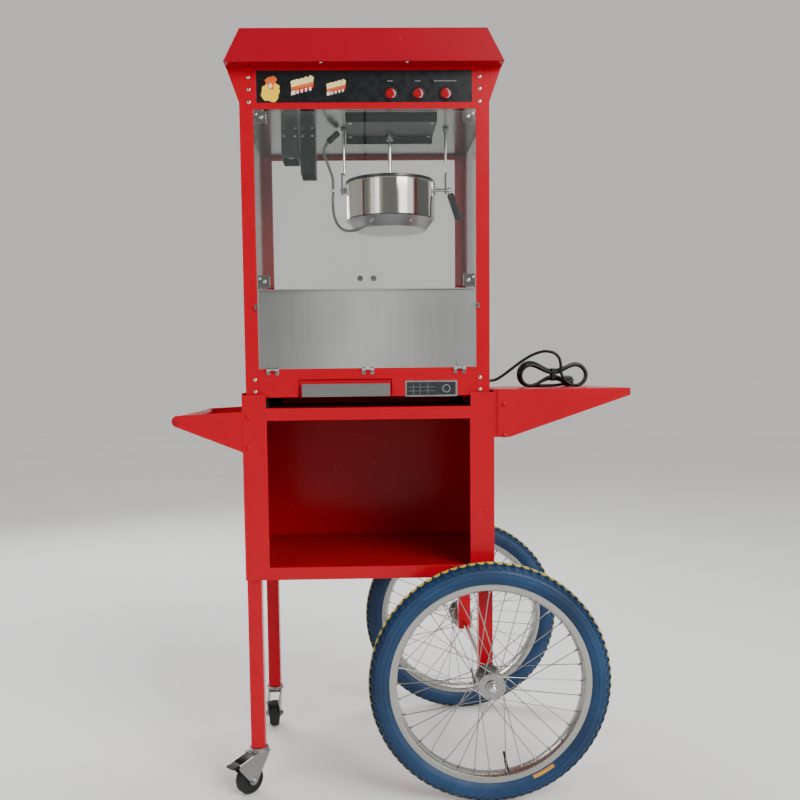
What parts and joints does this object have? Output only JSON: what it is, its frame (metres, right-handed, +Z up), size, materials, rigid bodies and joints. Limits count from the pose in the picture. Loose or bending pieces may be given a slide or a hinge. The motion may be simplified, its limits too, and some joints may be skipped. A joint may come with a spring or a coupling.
{
  "type": "popcorn machine on a wheeled cart",
  "caption": "Popcorn machine with a tilting kettle, glass cabin, drop door and crumb drawer, on a wheeled cart with a cabinet, push handle, side tray, spoked wheels and braked casters.",
  "frame": {"origin": "bottom centre of the bounding box without the mains lead, on the floor", "axes": "+Z up, -Y to the front with the drop door and drawer, +X to the side tray"},
  "size_m": [0.956, 0.618, 1.586],
  "materials": {
    "red_paint": "gloss",
    "drawer_red": "gloss",
    "stainless": "satin",
    "fittings": "polished",
    "drive_steel": "satin",
    "panel_black": "satin",
    "switch_red": "gloss",
    "clear_glass": "polished",
    "bulb_glass": "polished",
    "dark_metal": "satin",
    "grip_black": "satin",
    "kettle_lead": "matte",
    "foot_rubber": "matte",
    "lead_black": "satin",
    "tyre_blue": "matte",
    "rim_silver": "satin",
    "hub_chrome": "polished",
    "caster_zinc": "satin",
    "caster_wheel": "matte",
    "brake_black": "satin"
  },
  "bodies": {
    "root": {"roof": "red_paint", "header_housing": "red_paint", "ceiling_plate": "stainless", "control_panel": "panel_black", "corner_posts": "red_paint", "base_housing": "red_paint", "sifting_floor": "stainless", "door_fittings": "fittings", "fixed_glass": "clear_glass", "stir_motor": "dark_metal", "kettle_hanger": "stainless", "kettle_lead_upper": "kettle_lead", "lamp_housing": "dark_metal", "lamp_bulb": "bulb_glass", "exhaust_duct": "dark_metal", "machine_feet": "foot_rubber", "cord_gland": "lead_black", "power_cord": "lead_black", "cord_hank": "lead_black", "plug": "lead_black", "cart_panels": "red_paint", "cart_shelves": "red_paint", "cart_front_frame": "red_paint", "cart_legs": "red_paint", "push_handle": "red_paint", "side_tray": "red_paint", "axle": "drive_steel", "screws": "fittings"},
    "steel_door": {"steel_door": "stainless"},
    "glass_left": {"glass_door_left": "clear_glass", "door_hardware_left": "fittings"},
    "glass_right": {"glass_door_right": "clear_glass", "door_hardware_right": "fittings"},
    "drawer": {"crumb_drawer": "drawer_red", "drawer_pull": "stainless"},
    "rocker_stir": {"rocker_stir": "switch_red"},
    "rocker_heat": {"rocker_heat": "switch_red"},
    "rocker_lamp": {"rocker_lamp": "switch_red"},
    "drive": {"motor_coupler": "drive_steel"},
    "kettle": {"kettle_pot": "stainless", "kettle_base": "dark_metal", "kettle_lid_bar": "stainless", "dump_lever": "fittings", "dump_grip": "grip_black", "kettle_lead_lower": "kettle_lead"},
    "lid_front": {"lid_front": "stainless"},
    "lid_rear": {"lid_rear": "stainless"},
    "stirrer": {"stirrer": "drive_steel"},
    "front_wheel": {"front_tyre": "tyre_blue", "front_rim": "rim_silver", "front_hub": "hub_chrome"},
    "rear_wheel": {"rear_tyre": "tyre_blue", "rear_rim": "rim_silver", "rear_hub": "hub_chrome"},
    "front_caster": {"front_caster_fork": "caster_zinc"},
    "front_caster_wheel": {"front_caster_wheel": "caster_wheel"},
    "front_caster_brake": {"front_caster_brake": "brake_black"},
    "rear_caster": {"rear_caster_fork": "caster_zinc"},
    "rear_caster_wheel": {"rear_caster_wheel": "caster_wheel"},
    "rear_caster_brake": {"rear_caster_brake": "brake_black"}
  },
  "joints": [
    {"name": "steel_door_hinge", "type": "hinge", "parent": "root", "child": "steel_door", "pos_m": [-0.07, -0.205, 0.903], "axis": [1, 0, 0], "range_deg": [0, 95]},
    {"name": "glass_left_hinge", "type": "hinge", "parent": "root", "child": "glass_left", "pos_m": [-0.288, -0.197, 1.25], "axis": [0, 0, -1], "range_deg": [0, 100]},
    {"name": "glass_right_hinge", "type": "hinge", "parent": "root", "child": "glass_right", "pos_m": [0.148, -0.197, 1.25], "axis": [0, 0, 1], "range_deg": [0, 100]},
    {"name": "drawer_slide", "type": "slide", "parent": "root", "child": "drawer", "axis": [0, -1, 0], "range_m": [0, 0.22]},
    {"name": "rocker_stir_tilt", "type": "hinge", "parent": "root", "child": "rocker_stir", "pos_m": [-0.017, -0.201, 1.457], "axis": [1, 0, 0], "range_deg": [0, 14]},
    {"name": "rocker_heat_tilt", "type": "hinge", "parent": "root", "child": "rocker_heat", "pos_m": [0.039, -0.201, 1.457], "axis": [1, 0, 0], "range_deg": [0, 14]},
    {"name": "rocker_lamp_tilt", "type": "hinge", "parent": "root", "child": "rocker_lamp", "pos_m": [0.095, -0.201, 1.457], "axis": [1, 0, 0], "range_deg": [0, 14]},
    {"name": "drive_spin", "type": "hinge", "parent": "root", "child": "drive", "pos_m": [-0.014, -0.05, 1.41], "axis": [0, 0, 1], "continuous": true},
    {"name": "kettle_tilt", "type": "hinge", "parent": "root", "child": "kettle", "pos_m": [-0.014, -0.05, 1.295], "axis": [1, 0, 0], "range_deg": [0, 95]},
    {"name": "lid_front_flip", "type": "hinge", "parent": "kettle", "child": "lid_front", "pos_m": [-0.014, -0.075, 1.3128], "axis": [-1, 0, 0], "range_deg": [0, 80]},
    {"name": "lid_rear_flip", "type": "hinge", "parent": "kettle", "child": "lid_rear", "pos_m": [-0.014, -0.025, 1.3128], "axis": [1, 0, 0], "range_deg": [0, 80]},
    {"name": "stirrer_spin", "type": "hinge", "parent": "kettle", "child": "stirrer", "pos_m": [-0.014, -0.05, 1.26], "axis": [0, 0, 1], "continuous": true},
    {"name": "front_wheel_spin", "type": "hinge", "parent": "root", "child": "front_wheel", "pos_m": [0.174, -0.266, 0.2525], "axis": [0, 1, 0], "continuous": true},
    {"name": "rear_wheel_spin", "type": "hinge", "parent": "root", "child": "rear_wheel", "pos_m": [0.174, 0.266, 0.2525], "axis": [0, 1, 0], "continuous": true},
    {"name": "front_caster_swivel", "type": "hinge", "parent": "root", "child": "front_caster", "pos_m": [-0.315, -0.19, 0.08], "axis": [0, 0, 1], "continuous": true},
    {"name": "front_caster_roll", "type": "hinge", "parent": "front_caster", "child": "front_caster_wheel", "pos_m": [-0.3348, -0.2098, 0.0315], "axis": [0.7071, -0.7071, 0], "continuous": true},
    {"name": "front_caster_brake_press", "type": "hinge", "parent": "front_caster", "child": "front_caster_brake", "pos_m": [-0.35601, -0.23101, 0.07], "axis": [0.7071, -0.7071, 0], "range_deg": [0, 25]},
    {"name": "rear_caster_swivel", "type": "hinge", "parent": "root", "child": "rear_caster", "pos_m": [-0.315, 0.19, 0.08], "axis": [0, 0, 1], "continuous": true},
    {"name": "rear_caster_roll", "type": "hinge", "parent": "rear_caster", "child": "rear_caster_wheel", "pos_m": [-0.315, 0.162, 0.0315], "axis": [1, 0, 0], "continuous": true},
    {"name": "rear_caster_brake_press", "type": "hinge", "parent": "rear_caster", "child": "rear_caster_brake", "pos_m": [-0.315, 0.132, 0.07], "axis": [1, 0, 0], "range_deg": [0, 25]}
  ],
  "couplings": [
    {"joint": "stirrer_spin", "follows": "drive_spin", "ratio": 1}
  ]
}
